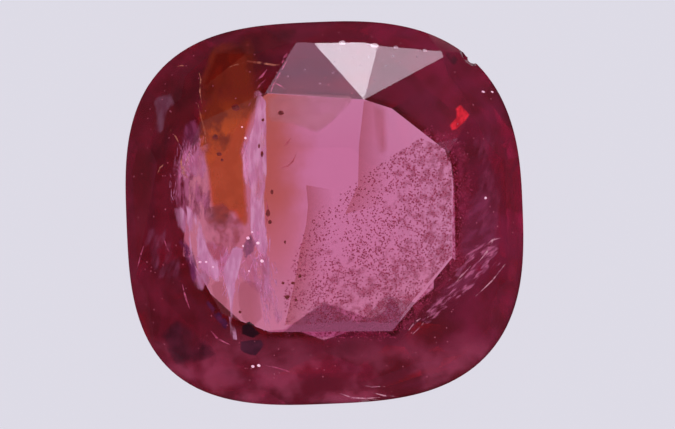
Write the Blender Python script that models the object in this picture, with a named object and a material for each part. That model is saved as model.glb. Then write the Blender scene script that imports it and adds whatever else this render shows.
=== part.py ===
"""A cushion-cut natural spinel, cut by planes from a rounded preform.

Metres, +Z up. The flat bottom facet (the culet) lies on Z = 0 with the table facet level above it,
and the origin is under the middle of the stone's outline.
"""

from math import atan2, cos, degrees, radians, sin, tan
from typing import NamedTuple

import bmesh
import bpy
from mathutils import Euler, Matrix, Vector

MM = 0.001

# Driving dimensions of the stone.
WIDTH = 7.2 * MM
LENGTH = 6.94 * MM
PAVILION_DEPTH = 2.3 * MM
GIRDLE_THICKNESS = 0.13 * MM
CROWN_HEIGHT = 1.14 * MM
TABLE_HEIGHT = PAVILION_DEPTH + GIRDLE_THICKNESS + CROWN_HEIGHT

# The outline is a superellipse, fuller in some corners than in others and turned a little.
CORNER_FULLNESS = {"right_back": 2.69, "left_back": 2.95, "left_front": 3.09, "right_front": 2.86}
OUTLINE_TURN = radians(2.3)
OUTLINE_STEPS = 180

ON_PLANE = 1e-7  # a point this near a cutting plane counts as lying on it
SHORTEST_EDGE = 0.004 * MM


class Facet(NamedTuple):
    """One flat cut: the way it faces, its slope, and how far out it meets the plane of the table or culet."""

    name: str
    azimuth: float
    slope: float
    reach: float


class TableSide(NamedTuple):
    """A side of the table: its first corner, going clockwise seen from above, and the slope of its facet."""

    name: str
    corner: tuple
    slope: float


class CornerFacet(NamedTuple):
    """A narrow crown facet that only touches the table, at the corner where the named side starts."""

    name: str
    side: str
    azimuth: float
    slope: float


TABLE_SIDES = (
    TableSide("back", (-1.075 * MM, 2.171 * MM), 31.0),
    TableSide("back_right", (0.716 * MM, 2.053 * MM), 30.8),
    TableSide("right_back_corner", (1.223 * MM, 1.889 * MM), 26.0),
    TableSide("right_back", (2.254 * MM, 1.085 * MM), 36.0),
    TableSide("right", (2.326 * MM, 0.742 * MM), 38.0),
    TableSide("right_front_corner", (2.308 * MM, -0.814 * MM), 31.0),
    TableSide("front", (1.223 * MM, -2.135 * MM), 36.5),
    TableSide("left_front_corner", (-0.984 * MM, -2.153 * MM), 37.0),
    TableSide("left_front", (-1.852 * MM, -1.827 * MM), 36.5),
    TableSide("left", (-2.377 * MM, -0.886 * MM), 39.5),
    TableSide("left_back", (-2.576 * MM, 0.778 * MM), 38.0),
    TableSide("left_back_corner", (-2.250 * MM, 1.646 * MM), 36.0),
)
CORNER_FACETS = (
    CornerFacet("back_middle", "back_right", 82.5, 32.8),
    CornerFacet("back_middle_right", "back_right", 76.0, 32.6),
    CornerFacet("back_left", "back", 100.0, 35.4),
    CornerFacet("right_front", "right_front_corner", -17.0, 35.0),
    CornerFacet("back_corner_left", "left_back_corner", 137.0, 35.0),
)

# Shallow facets round the culet, which light passes straight through under the table.
PAVILION_BREAKS = (
    Facet("right_inner", -6.0, 12.0, 0.60 * MM),
    Facet("right_outer", -1.0, 28.0, 1.04 * MM),
    Facet("right_back", 40.0, 28.0, 1.16 * MM),
    Facet("back", 91.0, 28.0, 1.19 * MM),
    Facet("left_back", 131.0, 28.0, 1.53 * MM),
    Facet("left_inner", 183.0, 15.0, 1.075 * MM),
    Facet("left_outer", 178.0, 28.0, 1.26 * MM),
    Facet("left_front", 224.0, 28.0, 1.31 * MM),
    Facet("front_inner_left", 246.0, 26.0, 1.20 * MM),
    Facet("front_inner_right", -68.0, 25.0, 1.20 * MM),
    Facet("front_outer", -90.0, 35.3, 1.42 * MM),
    Facet("front_outer_right", -60.0, 35.3, 1.46 * MM),
    Facet("right_front", -38.0, 28.0, 1.27 * MM),
)

# Steeper facets that end at the girdle, as (azimuth, slope) pairs.
CROWN_GIRDLE_CUTS = (
    (93.0, 57.0), (86.5, 51.0), (80.0, 48.5), (62.0, 61.0), (42.0, 49.0), (20.0, 49.0), (0.0, 50.0),
    (-21.0, 49.0), (-41.0, 48.0), (-60.0, 49.0), (-82.0, 50.0), (-102.0, 50.0), (-124.0, 50.0),
    (-140.0, 49.0), (-160.0, 52.0), (180.0, 53.0), (159.0, 52.0), (139.0, 50.0), (121.0, 50.0), (104.0, 50.0),
)
PAVILION_GIRDLE_CUTS = (
    (88.0, 53.0), (67.0, 51.5), (46.0, 48.5), (25.0, 51.0), (3.0, 52.5), (-18.0, 51.0), (-40.0, 48.0),
    (-64.0, 51.5), (-89.0, 54.0), (-112.0, 51.5), (-134.0, 48.0), (-154.0, 52.5),
    (-176.0, 56.0), (162.0, 55.0), (139.0, 50.0), (112.0, 53.0),
)


class Chip(NamedTuple):
    """A conchoidal chip knocked out of the girdle, as the hollow left by a rough ball."""

    azimuth: float
    overhang: float
    height: float
    radii: tuple
    turn: tuple


GIRDLE_TOP = PAVILION_DEPTH + GIRDLE_THICKNESS
CHIPS = (
    Chip(49.0, 0.10 * MM, GIRDLE_TOP + 0.08 * MM, (0.30 * MM, 0.19 * MM, 0.28 * MM), (20, 10, 112)),
    Chip(46.5, 0.08 * MM, GIRDLE_TOP - 0.02 * MM, (0.15 * MM, 0.13 * MM, 0.24 * MM), (0, 35, 40)),
    Chip(-77.0, 0.13 * MM, GIRDLE_TOP + 0.05 * MM, (0.42 * MM, 0.17 * MM, 0.15 * MM), (12, 0, 12)),
)

SPINEL_RED = (0.42, 0.03, 0.10, 1.0)
SPINEL_IOR = 1.718


def clear_scene():
    for old in list(bpy.data.objects):
        bpy.data.objects.remove(old)


def girdle_radius(azimuth):
    """Distance from the axis to the outline, before it is centred, in the direction azimuth in radians."""
    along = azimuth - OUTLINE_TURN
    across, forward = cos(along), sin(along)
    side = ("right" if across >= 0 else "left") + ("_back" if forward >= 0 else "_front")
    fullness = CORNER_FULLNESS[side]
    reach = abs(across * 2 / WIDTH) ** fullness + abs(forward * 2 / LENGTH) ** fullness
    return reach ** (-1 / fullness)


def girdle_outline():
    """The outline's points in the XY plane, with the middle of their box at the origin."""
    turns = [radians(360 * step / OUTLINE_STEPS) for step in range(OUTLINE_STEPS)]
    points = [Vector((cos(turn), sin(turn))) * girdle_radius(turn) for turn in turns]
    middle = Vector([(max(axis) + min(axis)) / 2 for axis in zip(*points)])
    return [point - middle for point in points]


def support_distance(outline, azimuth):
    """How far the outline reaches in one direction, where a flat cut facing that way touches the girdle."""
    facing = Vector((cos(azimuth), sin(azimuth)))
    return max(point.dot(facing) for point in outline)


def facet_through(name, corner, azimuth, slope):
    """The facet that faces azimuth, in degrees, and meets the table plane in a line through one corner."""
    facing = Vector((cos(radians(azimuth)), sin(radians(azimuth))))
    return Facet(name, azimuth, slope, Vector(corner).dot(facing))


def crown_facets():
    """The crown facets that meet the table, one along each of its sides and a few more at its corners."""
    facets = []
    for number, side in enumerate(TABLE_SIDES):
        along = Vector(TABLE_SIDES[(number + 1) % len(TABLE_SIDES)].corner) - Vector(side.corner)
        azimuth = degrees(atan2(along.x, -along.y))
        facets.append(facet_through(side.name, side.corner, azimuth, side.slope))
    corners = {side.name: side.corner for side in TABLE_SIDES}
    for extra in CORNER_FACETS:
        facets.append(facet_through(extra.name, corners[extra.side], extra.azimuth, extra.slope))
    return facets


def preform(outline):
    """The rounded block that the facets are cut from."""
    block = bmesh.new()
    bottom = block.faces.new([block.verts.new((point.x, point.y, 0)) for point in outline])
    raised = bmesh.ops.extrude_face_region(block, geom=[bottom])["geom"]
    tops = [item for item in raised if isinstance(item, bmesh.types.BMVert)]
    bmesh.ops.translate(block, verts=tops, vec=(0, 0, TABLE_HEIGHT))
    bmesh.ops.recalc_face_normals(block, faces=block.faces[:])
    for side in block.faces:
        side.smooth = abs(side.normal.z) < 0.5
    return block


def cut_flat(block, point, normal):
    """Grinds away what lies beyond one plane and closes the cut with a single flat facet."""
    everything = block.verts[:] + block.edges[:] + block.faces[:]
    cut = bmesh.ops.bisect_plane(
        block, geom=everything, dist=ON_PLANE, plane_co=point, plane_no=normal, clear_outer=True
    )["geom_cut"]
    rim = [item for item in cut if isinstance(item, bmesh.types.BMEdge) and item.is_boundary]
    if not rim:
        return
    made = bmesh.ops.contextual_create(block, geom=rim)["faces"]
    for facet in made:
        facet.smooth = False


def cut_facet(block, facet, level, upward):
    """Cuts a facet that crosses the table plane (upward) or the culet plane at its own reach."""
    azimuth, slope = radians(facet.azimuth), radians(facet.slope)
    facing = Vector((cos(azimuth), sin(azimuth), 0))
    tilt = Vector((0, 0, cos(slope) if upward else -cos(slope)))
    cut_flat(block, facing * facet.reach + Vector((0, 0, level)), facing * sin(slope) + tilt)


def cut_girdle_facets(block, outline, cuts, level, upward):
    """Cuts the ring of steeper facets so that each just touches the girdle's edge at this level."""
    for azimuth, slope in cuts:
        out = support_distance(outline, radians(azimuth))
        run = abs(level - (TABLE_HEIGHT if upward else 0)) / tan(radians(slope))
        facet = Facet("girdle", azimuth, slope, out - run)
        cut_facet(block, facet, TABLE_HEIGHT if upward else 0, upward)


def weld_close_meets(block):
    """Joins facet corners that meet within a few microns, so that no facet ends in a sliver."""
    bmesh.ops.remove_doubles(block, verts=block.verts[:], dist=SHORTEST_EDGE)
    bmesh.ops.dissolve_degenerate(block, edges=block.edges[:], dist=ON_PLANE)
    bmesh.ops.recalc_face_normals(block, faces=block.faces[:])


def spinel_material():
    material = bpy.data.materials.new("spinel")
    material.use_nodes = True
    shader = material.node_tree.nodes["Principled BSDF"]
    shader.inputs["Base Color"].default_value = SPINEL_RED
    shader.inputs["Roughness"].default_value = 0.03
    shader.inputs["Metallic"].default_value = 0.0
    shader.inputs["IOR"].default_value = SPINEL_IOR
    shader.inputs["Transmission Weight"].default_value = 0.8
    return material


def faceted_stone(outline):
    """The whole cut stone, before it was chipped."""
    block = preform(outline)
    cut_girdle_facets(block, outline, CROWN_GIRDLE_CUTS, GIRDLE_TOP, upward=True)
    cut_girdle_facets(block, outline, PAVILION_GIRDLE_CUTS, PAVILION_DEPTH, upward=False)
    for facet in crown_facets():
        cut_facet(block, facet, TABLE_HEIGHT, upward=True)
    for facet in PAVILION_BREAKS:
        cut_facet(block, facet, 0, upward=False)
    weld_close_meets(block)
    mesh = bpy.data.meshes.new("spinel")
    block.to_mesh(mesh)
    block.free()
    stone = bpy.data.objects.new("spinel", mesh)
    mesh.materials.append(spinel_material())
    bpy.context.scene.collection.objects.link(stone)
    return stone


def chip_cutter(number, chip, outline):
    """A rough ball just outside the girdle, whose near side bites the chip out."""
    azimuth = radians(chip.azimuth)
    facing = Vector((cos(azimuth), sin(azimuth), 0))
    edge = min(outline, key=lambda point: point.angle(facing.xy))
    centre = edge.to_3d() + facing * chip.overhang + Vector((0, 0, chip.height))
    turn = Euler([radians(angle) for angle in chip.turn]).to_matrix().to_4x4()
    shape = Matrix.Translation(centre) @ turn @ Matrix.Diagonal((*chip.radii, 1))
    ball = bmesh.new()
    bmesh.ops.create_icosphere(ball, subdivisions=2, radius=1, matrix=shape)
    mesh = bpy.data.meshes.new(f"chip_{number}")
    ball.to_mesh(mesh)
    ball.free()
    cutter = bpy.data.objects.new(f"chip_{number}", mesh)
    cutter.hide_render = True
    cutter.display_type = "WIRE"
    bpy.context.scene.collection.objects.link(cutter)
    return cutter


def main():
    clear_scene()
    outline = girdle_outline()
    stone = faceted_stone(outline)
    for number, chip in enumerate(CHIPS, start=1):
        bite = stone.modifiers.new(f"chip_{number}", "BOOLEAN")
        bite.operation = "DIFFERENCE"
        bite.object = chip_cutter(number, chip, outline)


main()
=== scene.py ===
"""Dresses the cut spinel: its clear body, the stains and crystals in it, its wear, and a small stage."""

import math
from typing import NamedTuple

import bmesh
import bpy
from bpy.props import FloatProperty, FloatVectorProperty, IntProperty, PointerProperty
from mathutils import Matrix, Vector, geometry, noise
from mathutils.bvhtree import BVHTree


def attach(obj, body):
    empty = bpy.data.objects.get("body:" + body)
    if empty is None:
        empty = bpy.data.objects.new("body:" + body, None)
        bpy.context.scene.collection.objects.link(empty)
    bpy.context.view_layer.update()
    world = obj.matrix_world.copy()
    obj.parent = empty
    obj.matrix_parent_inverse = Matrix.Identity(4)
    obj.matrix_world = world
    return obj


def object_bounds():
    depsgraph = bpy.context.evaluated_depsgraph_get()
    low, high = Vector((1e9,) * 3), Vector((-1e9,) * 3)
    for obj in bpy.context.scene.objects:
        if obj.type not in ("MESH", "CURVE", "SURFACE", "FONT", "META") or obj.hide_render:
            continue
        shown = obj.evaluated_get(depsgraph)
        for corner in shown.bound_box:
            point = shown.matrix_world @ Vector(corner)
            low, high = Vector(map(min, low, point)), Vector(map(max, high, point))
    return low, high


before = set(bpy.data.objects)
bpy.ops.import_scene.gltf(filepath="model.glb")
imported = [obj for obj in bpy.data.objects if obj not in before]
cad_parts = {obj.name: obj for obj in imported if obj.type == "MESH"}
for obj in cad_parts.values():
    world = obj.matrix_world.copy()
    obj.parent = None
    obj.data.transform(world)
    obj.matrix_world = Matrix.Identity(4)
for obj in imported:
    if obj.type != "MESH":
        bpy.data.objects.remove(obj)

bl_info = {
    "name": "Cut Spinel",
    "version": (1, 0, 0),
    "blender": (4, 5, 0),
    "location": "View3D > Sidebar > Spinel",
    "description": "Finishes a cushion-cut spinel with its inclusions and sets a small studio round it",
    "category": "Object",
}

MM = 0.001
CAD_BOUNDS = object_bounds()
TABLE_HEIGHT = CAD_BOUNDS[1].z
STONE_WIDTH = CAD_BOUNDS[1].x - CAD_BOUNDS[0].x
PHOTO_WIDTH_PX = 675
PHOTO_HEIGHT_PX = 429
STONE_WIDTH_PX = 399.5
PHOTO_SCALE = STONE_WIDTH / STONE_WIDTH_PX  # metres for each pixel of the photograph
PHOTO_CENTRE = (0.237 * MM, -0.027 * MM)  # the point of the table plane in the middle of the photograph


class Value:
    """A shader socket that takes part in Python sums, each of which adds one Math node."""

    def __init__(self, tree, socket):
        self.tree = tree
        self.socket = socket

    def math(self, operation, *others, clamp=False):
        settings = {"operation": operation, "use_clamp": clamp}
        return self.tree.add("ShaderNodeMath", settings, dict(enumerate((self, *others))))

    def reflected(self, operation, first):
        return self.tree.add("ShaderNodeMath", {"operation": operation}, {0: first, 1: self})

    def __add__(self, other):
        return self.math("ADD", other)

    __radd__ = __add__

    def __sub__(self, other):
        return self.math("SUBTRACT", other)

    def __rsub__(self, other):
        return self.reflected("SUBTRACT", other)

    def __mul__(self, other):
        return self.math("MULTIPLY", other)

    __rmul__ = __mul__

    def __rtruediv__(self, other):
        return self.reflected("DIVIDE", other)

    def clamped(self):
        return self.math("ADD", 0.0, clamp=True)

    def step(self, low, high):
        """Goes smoothly from 0 at low to 1 at high."""
        ranged = {"From Min": low, "From Max": high, "Value": self}
        return self.tree.add("ShaderNodeMapRange", {"interpolation_type": "SMOOTHSTEP"}, ranged)


class Tree:
    """A node tree, with one way to make any node: its settings first, then its sockets' values or links."""

    def __init__(self, tree):
        self.tree = tree

    def node(self, kind, settings=None, inputs=None):
        made = self.tree.nodes.new(kind)
        for name, setting in (settings or {}).items():
            setattr(made, name, setting)
        for name, value in (inputs or {}).items():
            self.feed(made.inputs[name], value)
        return made

    def feed(self, socket, value):
        if isinstance(value, Value):
            value = value.socket
        if isinstance(value, bpy.types.NodeSocket):
            self.tree.links.new(value, socket)
        else:
            socket.default_value = value

    def add(self, kind, settings=None, inputs=None, output=0):
        """Makes a node and hands back one of its outputs."""
        return Value(self, self.node(kind, settings, inputs).outputs[output])

    def mix(self, factor, first, second):
        """A colour between first and second."""
        inputs = {"Factor": factor, 6: first, 7: second}
        return self.add("ShaderNodeMix", {"data_type": "RGBA", "clamp_factor": True}, inputs, output=2)

    def ramp(self, factor, stops):
        made = self.node("ShaderNodeValToRGB", None, {"Fac": factor})
        elements = made.color_ramp.elements
        while len(elements) < len(stops):
            elements.new(1.0)
        for element, (position, colour) in zip(elements, stops):
            element.position = position
            element.color = (*colour, 1.0)
        return Value(self, made.outputs["Color"])

    def noise(self, fineness, detail=3.0, turn=0.0, shift=0.0, warp=0.0):
        """Noise with its own features per millimetre along each axis, turned about Z."""
        size = tuple(MM / part for part in fineness)
        settings = {"Vector": self.add("ShaderNodeTexCoord", output="Object"), "Scale": size}
        settings.update({"Rotation": (0, 0, turn), "Location": (shift, shift, 0)})
        place = self.add("ShaderNodeMapping", {"vector_type": "TEXTURE"}, settings)
        inputs = {"Vector": place, "Scale": 1.0, "Detail": detail, "Distortion": warp}
        return self.add("ShaderNodeTexNoise", None, inputs)


def rgba(colour):
    return (*colour, 1.0)


def paint(tree, colour):
    """A plain colour as a socket takes it, or the colour that a function makes in the tree."""
    return colour(tree) if callable(colour) else rgba(colour)


def new_material(name):
    """An empty material, as its tree and its output node."""
    material = bpy.data.materials.new(name)
    material.use_nodes = True
    material.node_tree.nodes.clear()
    tree = Tree(material.node_tree)
    return material, tree, tree.node("ShaderNodeOutputMaterial")


def surface(tree, output, **inputs):
    """One Principled shader on the output; its sockets are named with underscores for spaces."""
    named = {name.replace("_", " "): value for name, value in inputs.items()}
    shader = tree.node("ShaderNodeBsdfPrincipled", None, named)
    tree.feed(output.inputs["Surface"], shader.outputs[0])


def glowing(tree, output, shade, glow, **inputs):
    """Glows in its own colour: painted light in place of the light round it that it would scatter back."""
    surface(tree, output, Base_Color=shade, Emission_Color=shade, Emission_Strength=glow, **inputs)


CLEAR = (1, 1, 1, 1)


def gem_material(settings):
    """Clear spinel: plain refraction, and absorption that takes green most and red least."""
    material, tree, output = new_material("spinel_red")
    body = {"Base_Color": CLEAR, "Roughness": settings.polish, "IOR": settings.ior}
    surface(tree, output, Transmission_Weight=1.0, **body)
    kept = [1 - absorbed / max(settings.absorption) for absorbed in settings.absorption]
    density = max(settings.absorption) / MM
    absorbing = tree.node("ShaderNodeVolumeAbsorption", None, {"Color": rgba(kept), "Density": density})
    tree.feed(output.inputs["Volume"], absorbing.outputs[0])
    return material


def seen(red, green, blue):
    """A colour named as a screen shows it, from 0 to 255, as the linear light that shaders work in."""
    return tuple(((part / 255 + 0.055) / 1.055) ** 2.4 if part > 10 else part / 255 / 12.92
                 for part in (red, green, blue))


def fade_of(tree):
    """How full a sheet is here, from the attribute that its mesh carries."""
    return tree.add("ShaderNodeAttribute", {"attribute_name": "fade"}, output="Fac").clamped()


def tint_material(name, tint):
    """A film so thin that it bends nothing and only tints the light that passes through it."""
    material, tree, output = new_material(name)
    tinted = tree.mix(fade_of(tree), CLEAR, paint(tree, tint))
    surface(tree, output, Base_Color=tinted, Roughness=0.0, IOR=1.0, Transmission_Weight=1.0)
    return material


class Wisps(NamedTuple):
    """How a veil is broken up: its streaks per millimetre, their lean in radians, and what they cover."""

    across: float
    along: float
    lean: float = 0.0
    cover: float = 0.6
    softness: float = 0.12
    opacity: float = 0.85
    detail: float = 4.0
    warp: float = 0.0


RAGGED = 0.35  # how far a veil's fading edge eats into its wisps
MOTTLE = (0.38, 0.62)  # the values of the noise between which one colour goes over into the other
SPECKLE = (0.4, 0.62)


def veil_material(name, wisps, colour, second, glow):
    """A film of crushed or dusty crystal, painted shade or glint, solid in wisps, clear between, with painted
    glow.
    """
    material, tree, output = new_material(name)
    fade = fade_of(tree)
    streaks = tree.noise((wisps.across, wisps.along, 1.0), wisps.detail, wisps.lean, warp=wisps.warp)
    threshold = 0.75 - 0.5 * wisps.cover
    shape = streaks + (fade - 1.0) * RAGGED
    solid = shape.step(threshold - wisps.softness, threshold + wisps.softness)
    mottled = tree.noise((wisps.across * 1.7, wisps.along * 2.3, 1.0), 3.0, wisps.lean, shift=MM)
    shade = tree.mix(mottled.step(*MOTTLE), paint(tree, colour), rgba(second))
    alpha = solid * fade.step(0.0, RAGGED) * wisps.opacity
    glowing(tree, output, shade, glow, Roughness=1.0, Specular_IOR_Level=0.0, Alpha=alpha)
    return material


def solid_material(name, colour, second, glow):
    """Opaque crystal or painted glint, mottled between two colours, with a painted glow for light coming
    through it.
    """
    material, tree, output = new_material(name)
    shade = tree.mix(tree.noise((14, 14, 14), 2.0).step(*SPECKLE), rgba(colour), rgba(second))
    glowing(tree, output, shade, glow, Roughness=0.5)
    return material


def crack_material(name, colour, second, glow):
    """A crack's bright edge or a thin painted highlight, broken where it closes; its glow is painted light.
    """
    material, tree, output = new_material(name)
    shade = tree.mix(tree.noise((12, 12, 12), 2.0).step(*SPECKLE), rgba(colour), rgba(second))
    broken = tree.noise((7, 7, 7), 4.0, shift=MM).step(0.36, 0.62)
    glowing(tree, output, shade, glow, Roughness=0.6, Alpha=broken * 0.9)
    return material


def plan(px, py):
    """A place in the photograph, which looks straight down, in metres from the stone's middle."""
    across = (px - PHOTO_WIDTH_PX / 2) * PHOTO_SCALE + PHOTO_CENTRE[0]
    back = (PHOTO_HEIGHT_PX / 2 - py) * PHOTO_SCALE + PHOTO_CENTRE[1]
    return Vector((across, back))


def to_photo(point):
    """The pixel of the photograph that shows a point of the plan."""
    across = (point.x - PHOTO_CENTRE[0]) / PHOTO_SCALE + PHOTO_WIDTH_PX / 2
    down = PHOTO_HEIGHT_PX / 2 - (point.y - PHOTO_CENTRE[1]) / PHOTO_SCALE
    return across, down


def finished(name, mesh):
    """Puts a finished mesh in the scene as a piece of the stone."""
    piece = bpy.data.objects.new(name, mesh)
    bpy.context.scene.collection.objects.link(piece)
    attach(piece, "root")
    return piece


def stone_tree():
    """The CAD stone's surface, for finding where it lies above and below a point of the plan."""
    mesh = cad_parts["spinel"].data
    places = [vertex.co.copy() for vertex in mesh.vertices]
    return BVHTree.FromPolygons(places, [tuple(face.vertices) for face in mesh.polygons])


STONE_SURFACE = stone_tree()
SKIN = 0.04 * MM  # nothing inside the stone comes closer than this to its surface


def stone_span(x, y):
    """The heights between which the stone is solid at a point of the plan, or None beside the stone."""
    top = STONE_SURFACE.ray_cast(Vector((x, y, 1)), Vector((0, 0, -1)))[0]
    bottom = STONE_SURFACE.ray_cast(Vector((x, y, -1)), Vector((0, 0, 1)))[0]
    if top is None or bottom is None:
        return None
    return bottom.z, top.z


def kept_inside(place, depth_under_surface=None):
    """A point moved up or down until it lies inside the stone."""
    span = stone_span(place.x, place.y)
    if span is None:
        raise ValueError(f"{tuple(place)} is outside the stone")
    bottom, top = span
    height = place.z if depth_under_surface is None else top - depth_under_surface
    margin = min(SKIN, (top - bottom) / 2)
    return Vector((place.x, place.y, min(max(height, bottom + margin), top - margin)))


def distance_to_path(point, path, closed):
    """How far a point of the plan is from a line through the points of a path."""
    ends = path[1:] + path[:1] if closed else path[1:]
    nearest = math.inf
    for first, second in zip(path, ends):
        along = second - first
        share = max(0, min(1, (point - first).dot(along) / max(along.length_squared, 1e-18)))
        nearest = min(nearest, (point - first - along * share).length)
    return nearest


FILM_THICKNESS = 0.004 * MM


class Sheet(NamedTuple):
    """A wavy sheet inside the stone.

    Its outline, edge, spine and hole are in pixels of the photograph. Its depth is in millimetres below the
    table, or below whatever surface is over it if it is draped, and dip is how far it falls for each metre
    to the right and to the back. It fades out over the width of its edge, or over that width from its spine.
    """

    outline: tuple
    depth: float
    dip: tuple = (0.0, 0.0)
    edge: float = 6.0
    spine: tuple = None
    draped: bool = False
    hole: tuple = None

    def fade(self, point):
        """1 where the sheet is full, down to 0 at its edge."""
        if not self.edge:
            return 1
        width = self.edge * PHOTO_SCALE
        if self.spine:
            return 1 - distance_to_path(point, [plan(*p) for p in self.spine], False) / width
        inside = distance_to_path(point, [plan(*p) for p in self.outline], True)
        if self.hole:
            hole = [plan(*p) for p in self.hole]
            away = distance_to_path(point, hole, True)
            inside = min(inside, -away if inside_outline(point, hole) else away)
        return inside / width

    def mesh(self, name, cell=0.1 * MM, waviness=0.03 * MM, closed=True):
        depth = self.depth * MM
        outline = [plan(*point) for point in self.outline]
        middle = sum(outline, Vector((0, 0))) / len(outline)
        span = max((point - middle).length for point in outline)
        sheet = bmesh.new()
        sheet.faces.new([sheet.verts.new((point.x, point.y, 0)) for point in outline])
        steps = int(span / cell) + 1
        for axis in (0, 1):
            for step in range(-steps, steps + 1):
                at, across = [0, 0, 0], [0, 0, 0]
                at[axis] = middle[axis] + (step + 0.5) * cell
                across[axis] = 1
                everything = sheet.verts[:] + sheet.edges[:] + sheet.faces[:]
                bmesh.ops.bisect_plane(sheet, geom=everything, dist=1e-8, plane_co=at, plane_no=across)
        bmesh.ops.triangulate(sheet, faces=[face for face in sheet.faces if len(face.verts) > 4])
        for vertex in sheet.verts:
            place = vertex.co / MM
            rise = waviness * (noise.noise(place * 1.3) + 0.4 * noise.noise(place * 4.0))
            fall = (vertex.co.x - middle.x) * self.dip[0] + (vertex.co.y - middle.y) * self.dip[1]
            vertex.co.z = TABLE_HEIGHT - depth - fall + rise
            vertex.co = kept_inside(vertex.co, depth - rise if self.draped else None)
        bmesh.ops.recalc_face_normals(sheet, faces=sheet.faces[:])
        if closed:
            bmesh.ops.solidify(sheet, geom=sheet.faces[:], thickness=FILM_THICKNESS)
            bmesh.ops.recalc_face_normals(sheet, faces=sheet.faces[:])
        layer = sheet.verts.layers.float.new("fade")
        for vertex in sheet.verts:
            vertex[layer] = self.fade(vertex.co.xy)
        mesh = bpy.data.meshes.new(name)
        sheet.to_mesh(mesh)
        sheet.free()
        return mesh


def inside_outline(point, outline):
    """Whether a point of the plan is inside a closed outline."""
    inside = False
    for first, second in zip(outline, outline[1:] + outline[:1]):
        if (first.y > point.y) != (second.y > point.y):
            crossing = first.x + (point.y - first.y) / (second.y - first.y) * (second.x - first.x)
            if point.x < crossing:
                inside = not inside
    return inside


def film(name, sheet, material, **form):
    """A finished film: a closed sheet a few thousandths of a millimetre thick."""
    mesh = sheet.mesh(name, **form)
    mesh.materials.append(material)
    mesh.shade_smooth()
    return finished(name, mesh)


SLIVER_THICKNESS = 0.3  # for each part of its width


def sliver_mesh(points_px, width_px, depth):
    """A thin splinter with four sides that tapers to both ends, along points in the photograph."""
    path = [plan(*point) for point in points_px]
    sliver = bmesh.new()
    rings = []
    for number, point in enumerate(path):
        before, after = path[max(number - 1, 0)], path[min(number + 1, len(path) - 1)]
        along = (after - before).normalized()
        side = Vector((-along.y, along.x, 0))
        share = number / (len(path) - 1)
        half = width_px * PHOTO_SCALE / 2 * (0.12 + 0.88 * math.sin(math.pi * min(max(share, 0.02), 0.98)))
        place = kept_inside(Vector((point.x, point.y, 0)), depth + half)
        up = Vector((0, 0, SLIVER_THICKNESS))
        rings.append([sliver.verts.new(place + offset * half) for offset in (side, up, -side, -up)])
    for lower, upper in zip(rings, rings[1:]):
        for corner in range(4):
            following = (corner + 1) % 4
            sliver.faces.new((lower[corner], lower[following], upper[following], upper[corner]))
    sliver.faces.new(rings[0])
    sliver.faces.new(rings[-1])
    bmesh.ops.recalc_face_normals(sliver, faces=sliver.faces[:])
    mesh = bpy.data.meshes.new("sliver")
    sliver.to_mesh(mesh)
    sliver.free()
    return mesh


def grain_mesh(centre_px, size_px, depth, seed):
    """A rough solid grain, a little flattened, at a depth below the surface at a point in the photograph."""
    centre = plan(*centre_px)
    place = kept_inside(Vector((centre.x, centre.y, 0)), depth)
    radii = [part * PHOTO_SCALE / 2 for part in size_px]
    grain = bmesh.new()
    bmesh.ops.create_icosphere(grain, subdivisions=2, radius=1.0)
    for vertex in grain.verts:
        vertex.co *= 1 + 0.3 * noise.noise(vertex.co * 1.6 + Vector((seed * 7.3, 0, 0)))
        vertex.co = place + vertex.co * Vector((*radii, min(radii)))
    mesh = bpy.data.meshes.new("grain")
    grain.to_mesh(mesh)
    grain.free()
    return mesh


def with_material(mesh, material):
    mesh.materials.append(material)
    return mesh


def grains(spots, depth, material):
    """A grain for each spot, which is its place across and down the photograph and then its size."""
    return [with_material(grain_mesh((x, y), (wide, high), depth, number), material)
            for number, (x, y, wide, high) in enumerate(spots)]


def slivers(lines, depth, material):
    """A sliver along each line, which is its points in the photograph and its width."""
    return [with_material(sliver_mesh(points, width, depth), material) for points, width in lines]


GRAIN_INPUTS = {
    "Grains per Square Millimetre": "Float", "Length": "Float", "Width": "Float", "Thickness": "Float",
    "Direction": "Float", "Direction Spread": "Float", "Tumble": "Float", "Depth Spread": "Float",
    "Patch Size": "Float", "Patch Share": "Float", "Corners": "Int", "Seed": "Int", "Material": "Material",
}
THINNING = 1.6  # grains thin out where a sheet's fade falls below one part in this


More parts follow.
